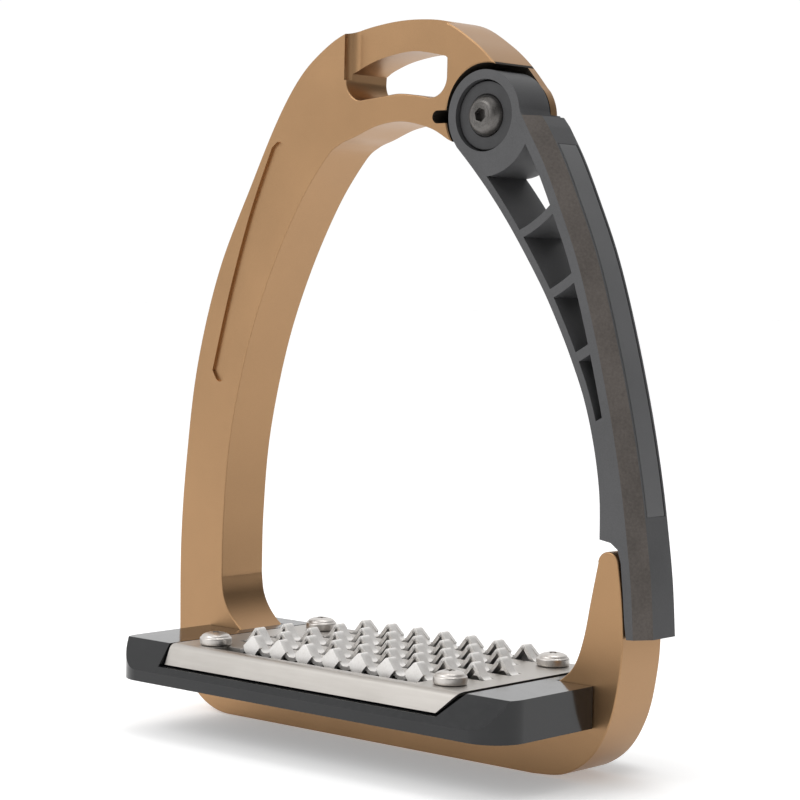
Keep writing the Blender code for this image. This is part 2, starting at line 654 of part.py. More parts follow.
def screw_places():
    """The four plate screws, front row first, left to right."""
    return [(sx * SCREW_X, TREAD_Y + sy * SCREW_Y) for sy in (-1, 1) for sx in (-1, 1)]


def build_base():
    """Tread base: slab over the bottom bar with a wing in front of it and one behind."""
    top, low = TREAD_TOP, TREAD_BOTTOM
    half = [(-CREASE_HALF, top), (-RIM_HALF, RIM_Z), (-RIM_HALF - 0.8, RIM_Z - 0.4), (-BASE_HALF_DEPTH, low + 1.0),
            (-BASE_HALF_DEPTH + 1.0, low)]
    base = x_solid("tread_base", mirrored(half), BASE_LEFT - 1, BASE_RIGHT + 1, BASE_PLASTIC)
    plan = rounded_plan(BASE_LEFT, BASE_RIGHT, BASE_HALF_DEPTH + 0.01, BASE_CORNER, low - 3, top + 3, "base_plan")
    cut(base, plan, "INTERSECT")
    depth = PLATE_THICKNESS + GAP
    pocket_half = [(-RIM_HALF - 3, top + 3), (-RIM_HALF - 3, RIM_Z + 0.1),
                   (-FLANGE_END_HALF + depth, RIM_Z + 0.1), (-CREASE_HALF + depth * 0.7, top - depth)]
    pocket = x_solid("plate_pocket", mirrored(pocket_half), PLATE_LEFT - PLATE_ROOM_LEFT,
                     PLATE_RIGHT + PLATE_ROOM_RIGHT, lean=FLANGE_LEAN)
    cut(base, as_cutter(pocket))
    frame_room = profile_solid("frame_room", [frame_outline()], FRONT - GAP, REAR + GAP, None, 0, GAP)
    cut(base, as_cutter(frame_room))
    for i, (x, y) in enumerate(screw_places()):
        low_z = top - depth - INSERT_LENGTH - GAP
        cut(base, post(f"insert_pocket_{i}", x, y, INSERT_RADIUS + GAP, low_z, top + 2))
    for i, x in enumerate((-BASE_SCREW_X, BASE_SCREW_X)):
        high_z = BAR_TOP + GAP + BASE_INSERT_LENGTH + 2 * GAP
        cut(base, post(f"base_insert_pocket_{i}", x, 0, INSERT_RADIUS + GAP, BAR_TOP - 4, high_z))
    return smooth(base)


def tooth_rows():
    """For each row from the front: its Y and the indices of its teeth along X."""
    long_row, short_row = range(-1, 8), range(0, 7)
    return [(TEETH_Y + (row - 2) * TOOTH_PITCH_Y, long_row if 0 < row < 3 else short_row) for row in range(5)]


def tents(name, half_width, height, length, foot):
    """Row after row of inverted-V prisms, as separate closed bodies in one mesh."""
    bm = bmesh.new()
    for y, columns in tooth_rows():
        for column in columns:
            x = FIRST_TOOTH_X + column * TOOTH_PITCH_X
            rings = []
            for end in (-1, 1):
                y_end = (y + end * length / 2) * MM
                points = ((x - half_width, foot), (x + half_width, foot), (x, TREAD_TOP + height))
                rings.append([bm.verts.new((px * MM, y_end, pz * MM)) for px, pz in points])
            bm.faces.new(rings[0])
            bm.faces.new(rings[1][::-1])
            for i in range(3):
                j = (i + 1) % 3
                bm.faces.new((rings[0][i], rings[1][i], rings[1][j], rings[0][j]))
    return as_cutter(mesh_object(bm, name))


def build_plate():
    """Grip plate: flat sheet with bent-down edges, five rows of raised teeth and the slots between them."""
    top, thick = TREAD_TOP, PLATE_THICKNESS
    half = [(-CREASE_HALF, top), (-FLANGE_END_HALF, RIM_Z + 0.5), (-FLANGE_END_HALF + thick * 0.85, RIM_Z + 0.5),
            (-CREASE_HALF + thick * 0.55, top - thick)]
    plate = x_solid("tread_plate", mirrored(half), PLATE_LEFT, PLATE_RIGHT, STEEL, lean=FLANGE_LEAN)
    cut(plate, tents("teeth", TOOTH_HALF_WIDTH, TOOTH_HEIGHT, TOOTH_LENGTH, top - 0.6), "UNION")
    cut(plate, tents("tooth_tunnels", TOOTH_HALF_WIDTH - 0.2, TOOTH_HEIGHT - 2.1, TOOTH_LENGTH + 1.6, top - 2.4))
    x_low, x_high = FIRST_TOOTH_X - TOOTH_PITCH_X, FIRST_TOOTH_X + 6.5 * TOOTH_PITCH_X
    strip_end = 2 * TOOTH_PITCH_Y + TOOTH_LENGTH / 2 + GAP
    slots = ((TREAD_Y - CREASE_HALF + EDGE_SLOT_FRONT, TEETH_Y - strip_end),
             (TEETH_Y + strip_end, TREAD_Y + CREASE_HALF - EDGE_SLOT_REAR))
    for i, (y_low, y_high) in enumerate(slots):
        slot = box(f"edge_slot_{i}", (x_low, y_low, top - 2), (x_high, y_high, top + 1))
        cut(plate, as_cutter(slot))
    for i, (x, y) in enumerate(screw_places()):
        cut(plate, post(f"plate_hole_{i}", x, y, THREAD_RADIUS + GAP, top - 3, top + 3))
    return smooth(plate)


def build_plate_screws():
    """Pan-head screws through the plate, and the inserts they thread into."""
    profile = screw_profile(HEAD_RADIUS, HEAD_HEIGHT, THREAD_RADIUS, PLATE_THICKNESS + INSERT_LENGTH)
    for i, (x, y) in enumerate(screw_places(), 1):
        place = upright(x, y, TREAD_TOP + SEAT)
        screw = turned(f"tread_screw_{i}", profile, place, STEEL, 20)
        cut(screw, hex_socket(f"tread_socket_{i}", place, 1.44, 1.1, HEAD_HEIGHT))
        smooth(screw)
        build_insert(f"tread_insert_{i}", x, y, TREAD_TOP - PLATE_THICKNESS - GAP - SEAT, INSERT_LENGTH)


def build_insert(name, x, y, z_top, length):
    """Knurled threaded insert, kept as a plain sleeve with a groove round it."""
    bore = THREAD_RADIUS + GAP
    outer, groove = INSERT_RADIUS, INSERT_RADIUS - 0.35
    profile = [(bore, 0), (outer, 0), (outer, -length * 0.4), (groove, -length * 0.45), (groove, -length * 0.55),
               (outer, -length * 0.6), (outer, -length), (bore, -length), (bore, 0)]
    return smooth(turned(name, profile, upright(x, y, z_top), BRASS, 16))


def build_base_screws():
    """Two screws up through the bottom bar and their inserts in the base."""
    length = BAR_TOP + BASE_INSERT_LENGTH - HEAD_HEIGHT
    profile = screw_profile(HEAD_RADIUS, HEAD_HEIGHT, THREAD_RADIUS, length)
    for i, x in enumerate((-BASE_SCREW_X, BASE_SCREW_X), 1):
        place = upside_down(x, 0, HEAD_HEIGHT + GAP - SEAT)
        screw = turned(f"base_screw_{i}", profile, place, STEEL, 20)
        cut(screw, hex_socket(f"base_socket_{i}", place, 1.44, 1.1, HEAD_HEIGHT))
        smooth(screw)
        build_insert(f"base_insert_{i}", x, 0, BAR_TOP + 2 * GAP + BASE_INSERT_LENGTH, BASE_INSERT_LENGTH)


build_frame()
build_arm()
build_strip()
build_disc()
build_hinge_screw()
build_barrel()
build_washer()
build_spring()
build_base()
build_plate()
build_plate_screws()
build_base_screws()

hinge_axis = bpy.data.objects.new("hinge_axis", None)
hinge_axis.location = (HUB_X * MM, 0, HUB_Z * MM)
parts.objects.link(hinge_axis)
bpy.context.view_layer.update()
for moving in ("release_arm", "arm_outer_strip"):
    piece = bpy.data.objects[moving]
    piece.parent = hinge_axis
    piece.matrix_parent_inverse = hinge_axis.matrix_world.inverted()
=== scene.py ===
"""Looks of the safety stirrup iron: finer surfaces, materials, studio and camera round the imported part.

Lengths are in millimetres until they reach Blender, and MM turns them into metres.
"""
import math

import bmesh
import bpy
from mathutils import Matrix, Vector


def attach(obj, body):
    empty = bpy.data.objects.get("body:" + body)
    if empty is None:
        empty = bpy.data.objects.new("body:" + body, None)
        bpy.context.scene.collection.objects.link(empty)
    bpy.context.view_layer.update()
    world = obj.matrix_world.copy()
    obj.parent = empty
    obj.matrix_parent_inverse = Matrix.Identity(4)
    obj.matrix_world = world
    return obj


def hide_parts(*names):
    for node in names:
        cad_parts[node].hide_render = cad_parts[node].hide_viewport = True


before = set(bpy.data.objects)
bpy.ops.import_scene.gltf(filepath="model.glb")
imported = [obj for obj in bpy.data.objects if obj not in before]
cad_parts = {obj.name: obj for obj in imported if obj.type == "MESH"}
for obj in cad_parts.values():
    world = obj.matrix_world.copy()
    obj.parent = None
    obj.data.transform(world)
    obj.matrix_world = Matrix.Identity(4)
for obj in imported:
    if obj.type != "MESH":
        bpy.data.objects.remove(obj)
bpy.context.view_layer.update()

MM = 0.001
FRONT, REAR = -7.6, 7.6        # frame's front and rear faces
EDGE = 0.35                    # eased edges of the frame
BAR_TOP = 13.4
BAR_SETBACK = 3.0
PANEL_DEPTH = 0.8
HUB_X, HUB_Z = 25.6, 153.8
HUB_RADIUS, POCKET_RADIUS, LUG_RADIUS = 10.8, 11.8, 10.4
POCKET_X, POCKET_Z = 25.7, 154.4
LUG_THICKNESS = 2.7
EAR_REAR = 4.0
DISC_RADIUS, DISC_THICKNESS, DISC_RECESS = 8.15, 2.2, 1.0
BARREL_RADIUS = 4.2
BARREL_FLANGE_RADIUS, BARREL_FLANGE = 6.4, 1.1
SPRING_CHAMBER_RADIUS = 6.6
ARM_LOW_Z, ARM_CHAMFER = 34.4, 3.3
INNER_WALL, OUTER_WALL = 1.8, 2.4
WINDOW_BANDS = ((14.5, 29.4), (31.4, 45.7), (47.9, 62.0), (64.3, 78.6))
STRIP_HALF_WIDTH, STRIP_THICKNESS = 3.4, 0.9
GAP = 0.3
TREAD_Y, TREAD_TOP, TREAD_BOTTOM = -11.1, 22.8, 13.0
BASE_LEFT, BASE_RIGHT, BASE_HALF_DEPTH, BASE_CORNER = -63.6, 62.0, 31.0, 9.0
CREASE_HALF, RIM_HALF, RIM_Z = 26.0, 30.0, 17.2
PLATE_LEFT, PLATE_RIGHT, PLATE_THICKNESS, FLANGE_END_HALF = -47.0, 46.6, 1.2, 28.2
FLANGE_LEAN = 5.7
PLATE_ROOM_LEFT, PLATE_ROOM_RIGHT = 0.5, 2.0   # between the plate's ends and the pocket in the base
EDGE_SLOT_FRONT, EDGE_SLOT_REAR = 2.6, 0.6     # from the flange's bend to the outermost slots
BASE_ROUNDING = 1.2
TOOTH_PITCH_X, TOOTH_PITCH_Y, TOOTH_LENGTH = 8.8, 10.05, 2.8
FIRST_TOOTH_X, TEETH_Y = -25.7, -8.3
TOOTH_SHEET = 1.0              # thickness of the pressed strips
WINDOW_FRONT, WINDOW_REAR = 1.7, 0.35
SCREW_X, SCREW_Y = 38.1, 19.2
HEAD_RADIUS, HEAD_HEIGHT, THREAD_RADIUS = 4.0, 3.2, 2.0
BASE_SCREW_X = 20.0
SEAT = 0.12
WORLD_DIM, WORLD_BRIGHT = 0.12, 1.02
FLOOR_GLOW = 0.3               # emission of the pale floor


# ---------------------------------------------------------------- geometry helpers

def mesh_object(bm, name, *mats):
    """Turn a bmesh into an object of the scene."""
    bmesh.ops.recalc_face_normals(bm, faces=bm.faces)
    mesh = bpy.data.meshes.new(name)
    bm.to_mesh(mesh)
    bm.free()
    for mat in mats:
        mesh.materials.append(mat)
    obj = bpy.data.objects.new(name, mesh)
    bpy.context.scene.collection.objects.link(obj)
    return obj


def bake(obj):
    """Replace an object's mesh by its evaluated mesh."""
    depsgraph = bpy.context.evaluated_depsgraph_get()
    depsgraph.update()
    mesh = bpy.data.meshes.new_from_object(obj.evaluated_get(depsgraph))
    bm = bmesh.new()
    bm.from_mesh(mesh)
    bmesh.ops.remove_doubles(bm, verts=bm.verts, dist=2e-6)
    bmesh.ops.dissolve_degenerate(bm, edges=bm.edges, dist=2e-6)
    bm.to_mesh(mesh)
    bm.free()
    obj.modifiers.clear()
    obj.data = mesh
    return obj


def cut(obj, cutter, operation="DIFFERENCE"):
    """Apply a boolean straight away and throw the cutter away."""
    modifier = obj.modifiers.new("cut", "BOOLEAN")
    modifier.operation = operation
    modifier.solver = "EXACT"
    modifier.object = cutter
    bake(obj)
    bpy.data.objects.remove(cutter, do_unlink=True)
    return obj


def rounded(obj, width, segments, angle):
    """Round the edges that are sharper than an angle."""
    bevel = obj.modifiers.new("eased edges", "BEVEL")
    bevel.width = width * MM
    bevel.segments = segments
    bevel.limit_method = "ANGLE"
    bevel.angle_limit = math.radians(angle)
    bevel.use_clamp_overlap = True
    bevel.miter_outer = "MITER_ARC"
    return bake(obj)


def finished(obj, body, replaced, width=0.0, segments=2, angle=32):
    """Round the edges a little, shade smooth and let the piece ride on its body."""
    if width:
        rounded(obj, width, segments, angle)
    obj.data.shade_smooth()
    obj.data.set_sharp_from_angle(angle=math.radians(angle))
    weighted = obj.modifiers.new("weighted normals", "WEIGHTED_NORMAL")
    weighted.keep_sharp = True
    weighted.weight = 80
    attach(obj, body)
    for node in replaced:
        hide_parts(node)
    return obj


def arc(cx, cz, radius, start, end, steps):
    """Points on an arc, angles in degrees, both ends included."""
    angles = [math.radians(start + (end - start) * i / steps) for i in range(steps + 1)]
    return [(cx + radius * math.cos(a), cz + radius * math.sin(a)) for a in angles]


def flowing(points, steps=10):
    """Smooth curve through the given points (Catmull-Rom), ends included."""
    guide = [points[0]] + list(points) + [points[-1]]
    out = []
    for i in range(1, len(guide) - 2):
        p0, p1, p2, p3 = (Vector(guide[i + k]) for k in (-1, 0, 1, 2))
        for step in range(steps):
            t = step / steps
            out.append(tuple(0.5 * (2 * p1 + (p2 - p0) * t + (2 * p0 - 5 * p1 + 4 * p2 - p3) * t * t
                                    + (3 * p1 - p0 - 3 * p2 + p3) * t ** 3)))
    out.append(tuple(points[-1]))
    return out


def without_repeats(path):
    """Drop points that coincide with their neighbour."""
    clean = []
    for point in path:
        if not clean or (Vector(point) - Vector(clean[-1])).length > 0.05:
            clean.append(point)
    if (Vector(clean[0]) - Vector(clean[-1])).length < 0.05:
        clean.pop()
    return clean


def profile_solid(name, outlines, y_front, y_rear, round_edge=0.0, offset=0.0, mat=None, rings=3):
    """Flat outlines in the XZ plane given thickness along Y, as a welded mesh."""
    curve = bpy.data.curves.new(name, "CURVE")
    curve.dimensions = "2D"
    curve.fill_mode = "BOTH"
    curve.extrude = ((y_rear - y_front) / 2 - round_edge) * MM
    curve.bevel_depth = round_edge * MM
    curve.bevel_resolution = rings
    curve.offset = (offset - round_edge) * MM
    for outline in outlines:
        spline = curve.splines.new("POLY")
        spline.points.add(len(outline) - 1)
        for point, (x, z) in zip(spline.points, outline):
            point.co = (x * MM, z * MM, 0, 1)
        spline.use_cyclic_u = True
    source = bpy.data.objects.new(name, curve)
    source.rotation_euler = (math.pi / 2, 0, 0)
    source.location = (0, (y_front + y_rear) / 2 * MM, 0)
    bpy.context.scene.collection.objects.link(source)
    return welded(source, name, mat)


def welded(source, name, mat=None):
    """Mesh copy of a curve object with its caps welded on, placed where the curve was."""
    depsgraph = bpy.context.evaluated_depsgraph_get()
    depsgraph.update()
    mesh = bpy.data.meshes.new_from_object(source.evaluated_get(depsgraph))
    place = source.matrix_world.copy()
    bpy.data.objects.remove(source, do_unlink=True)
    bm = bmesh.new()
    bm.from_mesh(mesh)
    bpy.data.meshes.remove(mesh)
    bmesh.ops.remove_doubles(bm, verts=bm.verts, dist=2e-6)
    bmesh.ops.transform(bm, matrix=place, verts=bm.verts)
    return mesh_object(bm, name, *([mat] if mat else []))


def box(name, low, high, mat=None):
    """Axis-aligned block from its low and high corners."""
    bm = bmesh.new()
    bmesh.ops.create_cube(bm, size=1)
    for v in bm.verts:
        v.co = Vector([(low[i] + high[i]) / 2 * MM + v.co[i] * (high[i] - low[i]) * MM for i in range(3)])
    return mesh_object(bm, name, *([mat] if mat else []))


def turned(name, profile, place, mat, segments=64):
    """Solid of revolution: profile of (radius, height), closed round or starting and ending on the axis."""
    bm = bmesh.new()
    rings = []
    for radius, height in profile:
        if radius < 1e-6:
            rings.append([bm.verts.new((0, 0, height * MM))])
        else:
            rings.append([bm.verts.new((radius * MM * math.cos(2 * math.pi * i / segments),
                                        radius * MM * math.sin(2 * math.pi * i / segments), height * MM))
                          for i in range(segments)])
    for a, b in zip(rings, rings[1:]):
        for i in range(segments):
            j = (i + 1) % segments
            corners = [a[i % len(a)], a[j % len(a)], b[j % len(b)], b[i % len(b)]]
            corners = [v for k, v in enumerate(corners) if v not in corners[:k]]
            if len(corners) > 2:
                bm.faces.new(corners)
    bmesh.ops.remove_doubles(bm, verts=bm.verts, dist=1e-7)
    bmesh.ops.transform(bm, matrix=place, verts=bm.verts)
    return mesh_object(bm, name, mat)


def along_y(x, y, z):
    """Placement that turns a piece's own +Z to face -Y."""
    return Matrix.Translation((x * MM, y * MM, z * MM)) @ Matrix.Rotation(math.pi / 2, 4, "X")


def upright(x, y, z):
    """Placement that keeps a piece's own +Z up."""
    return Matrix.Translation((x * MM, y * MM, z * MM))


def cylinder(name, place, radius, low, high, segments=96):
    """Cylinder along its own Z, for cuts."""
    bm = bmesh.new()
    bmesh.ops.create_cone(bm, cap_ends=True, segments=segments, radius1=radius * MM, radius2=radius * MM,
                          depth=(high - low) * MM, matrix=place @ upright(0, 0, (low + high) / 2))
    return mesh_object(bm, name)


def rod(name, x, z, radius, y_front, y_rear, segments=96):
    """Cylinder along Y."""
    return cylinder(name, along_y(x, y_rear, z), radius, 0, y_rear - y_front, segments)


def post(name, x, y, radius, z_low, z_high, segments=48):
    """Upright cylinder."""
    return cylinder(name, upright(x, y, 0), radius, z_low, z_high, segments)


# ---------------------------------------------------------------- materials

def nodes_of(name):
    """New material with its tree, its Principled shader and a coordinate output in metres."""
    mat = bpy.data.materials.new(name)
    mat.use_nodes = True
    tree = mat.node_tree
    shader = tree.nodes["Principled BSDF"]
    coords = tree.nodes.new("ShaderNodeTexCoord").outputs["Object"]
    return mat, tree, shader, coords


def stretched(tree, coords, scale):
    """Coordinates scaled separately along each axis."""
    mapping = tree.nodes.new("ShaderNodeMapping")
    mapping.inputs["Scale"].default_value = scale
    tree.links.new(coords, mapping.inputs["Vector"])
    return mapping.outputs["Vector"]


def noise(tree, coords, scale, detail=4.0, rough=0.55):
    """Noise value at a spatial frequency of scale per metre."""
    node = tree.nodes.new("ShaderNodeTexNoise")
    node.inputs["Scale"].default_value = scale
    node.inputs["Detail"].default_value = detail
    node.inputs["Roughness"].default_value = rough
    tree.links.new(coords, node.inputs["Vector"])
    return node.outputs["Fac"]


def spread(tree, value, low, high, start=0.3, stop=0.7):
    """Value remapped from start..stop to low..high."""
    node = tree.nodes.new("ShaderNodeMapRange")
    node.inputs["From Min"].default_value = start
    node.inputs["From Max"].default_value = stop
    node.inputs["To Min"].default_value = low
    node.inputs["To Max"].default_value = high
    tree.links.new(value, node.inputs["Value"])
    return node.outputs["Result"]


def blended(tree, value, first, second):
    """Colour between two colours."""
    node = tree.nodes.new("ShaderNodeMix")
    node.data_type = "RGBA"
    tree.links.new(value, node.inputs["Factor"])
    node.inputs["A"].default_value = (*first, 1)
    node.inputs["B"].default_value = (*second, 1)
    return node.outputs["Result"]


def bump(tree, shader, height, distance, strength=1.0, under=None):
    """Bump the shader's normal; the height difference is distance in millimetres."""
    node = tree.nodes.new("ShaderNodeBump")
    node.inputs["Strength"].default_value = strength
    node.inputs["Distance"].default_value = distance * MM
    tree.links.new(height, node.inputs["Height"])
    if under is not None:
        tree.links.new(under, node.inputs["Normal"])
    tree.links.new(node.outputs["Normal"], shader.inputs["Normal"])
    return node.outputs["Normal"]


def surface(name, dark, light, metallic, rough_low, rough_high, cloud, grain, grain_height,
            stretch=(1, 1, 1), specular=0.5, coat=0.0, coat_rough=0.1, grain_detail=3.0):
    """Mottled material: soft clouds of colour and roughness, and a fine grain that also bumps it."""
    mat, tree, shader, coords = nodes_of(name)
    shader.inputs["Metallic"].default_value = metallic
    shader.inputs["Specular IOR Level"].default_value = specular
    shader.inputs["Coat Weight"].default_value = coat
    shader.inputs["Coat Roughness"].default_value = coat_rough
    clouds = noise(tree, coords, cloud)
    fine = noise(tree, stretched(tree, coords, stretch), grain, grain_detail)
    both = tree.nodes.new("ShaderNodeMath")
    both.operation = "MULTIPLY_ADD"
    both.inputs[1].default_value = 0.45
    tree.links.new(fine, both.inputs[0])
    softer = tree.nodes.new("ShaderNodeMath")
    softer.operation = "MULTIPLY"
    softer.inputs[1].default_value = 0.55
    tree.links.new(clouds, softer.inputs[0])
    tree.links.new(softer.outputs[0], both.inputs[2])
    mixed = both.outputs[0]
    tree.links.new(blended(tree, spread(tree, mixed, 0, 1, 0.36, 0.64), dark, light),
                   shader.inputs["Base Color"])
    tree.links.new(spread(tree, mixed, rough_low, rough_high, 0.36, 0.64), shader.inputs["Roughness"])
    bump(tree, shader, fine, grain_height)
    return mat


BRONZE = surface("anodised bronze", (0.365, 0.218, 0.112), (0.415, 0.249, 0.128),
                 0.95, 0.34, 0.43, 45, 4200, 0.004)
# near-black painted shade for the bronze walls inside the hub pocket and the spring slot
DARK_BORE = surface("shaded bore", (0.02, 0.016, 0.012), (0.035, 0.028, 0.022),
                    0.0, 0.6, 0.75, 200, 2400, 0.006, specular=0.2)
ARM_GREY = surface("moulded arm", (0.062, 0.062, 0.064), (0.085, 0.085, 0.088),
                   0.0, 0.5, 0.62, 60, 2600, 0.012, specular=0.4)
ARM_BAND = surface("grained arm band", (0.07, 0.06, 0.053), (0.115, 0.1, 0.09),
                   0.0, 0.6, 0.75, 90, 1700, 0.035, specular=0.35, grain_detail=5.0)
STRIP_GREY = surface("smooth strip", (0.112, 0.113, 0.116), (0.132, 0.133, 0.136),
                     0.0, 0.42, 0.5, 50, 3000, 0.005, specular=0.4)
DARK_STEEL = surface("black oxide", (0.085, 0.08, 0.075), (0.16, 0.152, 0.145),
                     0.8, 0.26, 0.42, 400, 3500, 0.008)
DISC_BLACK = surface("turned disc", (0.024, 0.024, 0.025), (0.04, 0.04, 0.042),
                     0.1, 0.42, 0.55, 250, 3800, 0.008)
PLATE_STEEL = surface("brushed plate", (0.46, 0.435, 0.405), (0.53, 0.505, 0.475),
                      0.9, 0.38, 0.48, 70, 900, 0.002, stretch=(0.08, 1, 1))
TOOTH_STEEL = surface("pressed teeth", (0.74, 0.715, 0.685), (0.86, 0.84, 0.82),
                      0.85, 0.3, 0.45, 300, 2200, 0.006)
SCREW_STEEL = surface("polished screw", (0.56, 0.53, 0.5), (0.64, 0.61, 0.58),
                      1.0, 0.33, 0.4, 300, 2600, 0.001)
GLOSS_BLACK = surface("gloss base", (0.007, 0.0075, 0.0085), (0.012, 0.0125, 0.0135),
                      0.0, 0.1, 0.2, 55, 900, 0.006, specular=0.35, coat=0.15, coat_rough=0.1)
SPRING_WIRE = surface("spring wire", (0.3, 0.3, 0.31), (0.42, 0.42, 0.43),
                      1.0, 0.25, 0.35, 400, 2800, 0.004)
NYLON = surface("natural nylon", (0.7, 0.69, 0.64), (0.78, 0.77, 0.73),
                0.0, 0.45, 0.55, 200, 2400, 0.006)
BRASS = surface("turned brass", (0.62, 0.43, 0.16), (0.76, 0.56, 0.25),
                1.0, 0.3, 0.42, 300, 2600, 0.006)


def carried_over():
    """CAD nodes that stay as they are get a material with detail."""
    kept = {"hinge_barrel": SCREW_STEEL, "hinge_washer": NYLON, "torsion_spring": SPRING_WIRE}
    kept.update({f"tread_insert_{i}": BRASS for i in range(1, 5)})
    kept.update({f"base_insert_{i}": BRASS for i in (1, 2)})
    for node, mat in kept.items():
        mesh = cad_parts[node].data
        mesh.materials.clear()
        mesh.materials.append(mat)
        mesh.shade_smooth()
        mesh.set_sharp_from_angle(angle=math.radians(35))


# ---------------------------------------------------------------- frame

def frame_outline():
    """Outer boundary of the frame, clockwise from the bottom centre up the left branch."""
    left_corner = arc(-56.2, 18.8, 18.8, 270, 180, 30)
    left_side = flowing([(-75.0, 20), (-75.2, 44), (-73.6, 66), (-70.0, 91), (-62.4, 116),
                         (-51.0, 138.5), (-42.2, 154.5), (-35.0, 164.5), (-28.0, 170.6), (-19.4, 175.2),
                         (-8.0, 177.4), (3.0, 177.8), (13.0, 176.4), (21.4, 171.8), (27.6, 166.9),
                         (33.0, 161.0)])
    lug = arc(HUB_X, HUB_Z, LUG_RADIUS, 38, -140, 48)
    arch = flowing([(14.6, 148.3), (8.8, 151.2), (0, 153), (-8, 152.2), (-15.5, 149.6), (-20.6, 147.8),
                    (-25.2, 144.4), (-34.0, 133.1), (-43.7, 115.6), (-51.5, 96.2), (-57.2, 73),
                    (-59.2, 52), (-59.4, 36)])
    left_fillet = flowing([(-59.4, 36), (-58.6, 31.0), (-56.4, 26.9), (-52.6, 23.3), (-46.5, 19.6),
                           (-38, 15.6), (-28, 13.9), (-16, BAR_TOP)])
    right_fillet = flowing([(16, BAR_TOP), (28, 13.9), (38, 15.6), (46.5, 19.6), (52.6, 23.3), (56.2, 27.0),
                            (58.6, 33.5), (60.4, 42.5), (62.2, 51.2)])
    stub_top = arc(65.0, 51.0, 2.9, 175, 20, 20)
    stub_side = flowing([(67.9, 51.0), (69.0, 43.5), (69.7, 34), (69.0, 25.0), (66.6, 14.6), (61.6, 6.2),
                         (54.0, 1.2), (45.0, 0.0)])
    path = []
    for piece in (left_corner, left_side, lug, arch, left_fillet, right_fillet, stub_top, stub_side):
        path += piece
    return without_repeats(path)


def eye_outline():
    """Slot for the stirrup leather: arched top, rounded corners, slightly wavy floor."""
    floor_left = arc(-13.5, 163.6, 5.0, 180, 265, 16)
    floor = flowing([(-13.9, 158.6), (-6.0, 159.4), (-1.0, 159.8), (5.0, 159.2), (8.6, 158.5)])
    floor_right = arc(8.9, 163.5, 5.0, 275, 360, 16)
    roof = flowing([(13.9, 167.9), (7.2, 169.4), (0.0, 170.2), (-9.0, 169.0), (-15.4, 167.0),
                    (-18.4, 165.4)])
    return without_repeats(floor_left + floor + floor_right + roof)


def panel_outline():
    """Recessed panel in the front of the left branch."""
    outer = flowing([(-64.2, 89.9), (-58.4, 110.4), (-51.2, 131.2), (-43.9, 147.5)])
    tip = flowing([(-43.9, 147.5), (-41.7, 149.0), (-39.6, 148.1), (-36.3, 145.2), (-33.0, 142.7),
                   (-32.2, 140.8), (-33.2, 138.5)])
    inner = flowing([(-33.2, 138.5), (-35.4, 136.0), (-41.9, 126.3), (-48.5, 114.5), (-55.1, 100.5),
                     (-59.6, 88.9)])
    foot = flowing([(-59.6, 88.9), (-60.6, 87.2), (-62.4, 87.3), (-64.2, 89.9)])
    return without_repeats(outer + tip + inner + foot)


def cone_cut(obj, x, z, radius, width, y_face):
    """Chamfer round a hole that opens in the front face."""
    bm = bmesh.new()
    depth = width + 0.4
    bmesh.ops.create_cone(bm, cap_ends=True, segments=96, radius1=radius * MM,
                          radius2=(radius + depth) * MM,
                          depth=depth * MM, matrix=along_y(x, y_face + width - depth / 2, z))
    cut(obj, mesh_object(bm, "rim"))


def bar_cutter():
    """Room in front of the leather bar: a milled step, its left corner rounded and its right one sharp."""
    left, right = -19.3, 13.7
    corner = arc(left + BAR_SETBACK, FRONT, BAR_SETBACK, 180, 90, 12)
    plan = [(left, FRONT - 2)] + [(x, y) for x, y in corner]
    plan += [(right, FRONT + BAR_SETBACK), (right, FRONT - 2)]
    bm = bmesh.new()
    rings = [[bm.verts.new((x * MM, y * MM, z * MM)) for x, y in plan] for z in (163.8, 182.0)]
    bm.faces.new(rings[0])
    bm.faces.new(rings[1][::-1])
    for i in range(len(plan)):
        j = (i + 1) % len(plan)
        bm.faces.new((rings[0][i], rings[0][j], rings[1][j], rings[1][i]))
    return mesh_object(bm, "bar")


def build_frame():
    """Frame with its eye, hub pocket, spring slot, recessed panel and screw holes."""
    obj = profile_solid("stirrup_frame", [frame_outline(), eye_outline()], FRONT, REAR, EDGE, 0, BRONZE)
    cut(obj, bar_cutter())
    cut(obj, profile_solid("panel", [panel_outline()], FRONT - 2, FRONT + PANEL_DEPTH))
    cut(obj, rod("pocket", POCKET_X, POCKET_Z, POCKET_RADIUS, FRONT - 2, REAR - LUG_THICKNESS))
    cone_cut(obj, POCKET_X, POCKET_Z, POCKET_RADIUS, 0.25, FRONT)
    cut(obj, rod("barrel_hole", HUB_X, HUB_Z, BARREL_RADIUS + GAP, FRONT, REAR + 2))
    recess_floor = REAR - BARREL_FLANGE - GAP
    cut(obj, rod("flange_recess", HUB_X, HUB_Z, BARREL_FLANGE_RADIUS + GAP, recess_floor, REAR + 2))
    slot = arc(11.3, HUB_Z, 1.55, 90, 270, 20) + [(HUB_X - 8, HUB_Z - 1.55), (HUB_X - 8, HUB_Z + 1.55)]
    cut(obj, profile_solid("slot", [slot], FRONT - 2, REAR - LUG_THICKNESS - 0.7))
    for x in (-BASE_SCREW_X, BASE_SCREW_X):
        cut(obj, post("hole", x, 0, THREAD_RADIUS + GAP, -2, BAR_TOP + 6))
        cut(obj, post("recess", x, 0, HEAD_RADIUS + GAP, -2, HEAD_HEIGHT + GAP))
    finished(obj, "stirrup", ["frame"], 0.15, 2)
    # painted shade: the bronze faces inside the hub pocket and the spring slot get the near-black material
    obj.data.materials.append(DARK_BORE)
    for face in obj.data.polygons:
        if in_hub_recess(face.center / MM):
            face.material_index = 1
    return obj


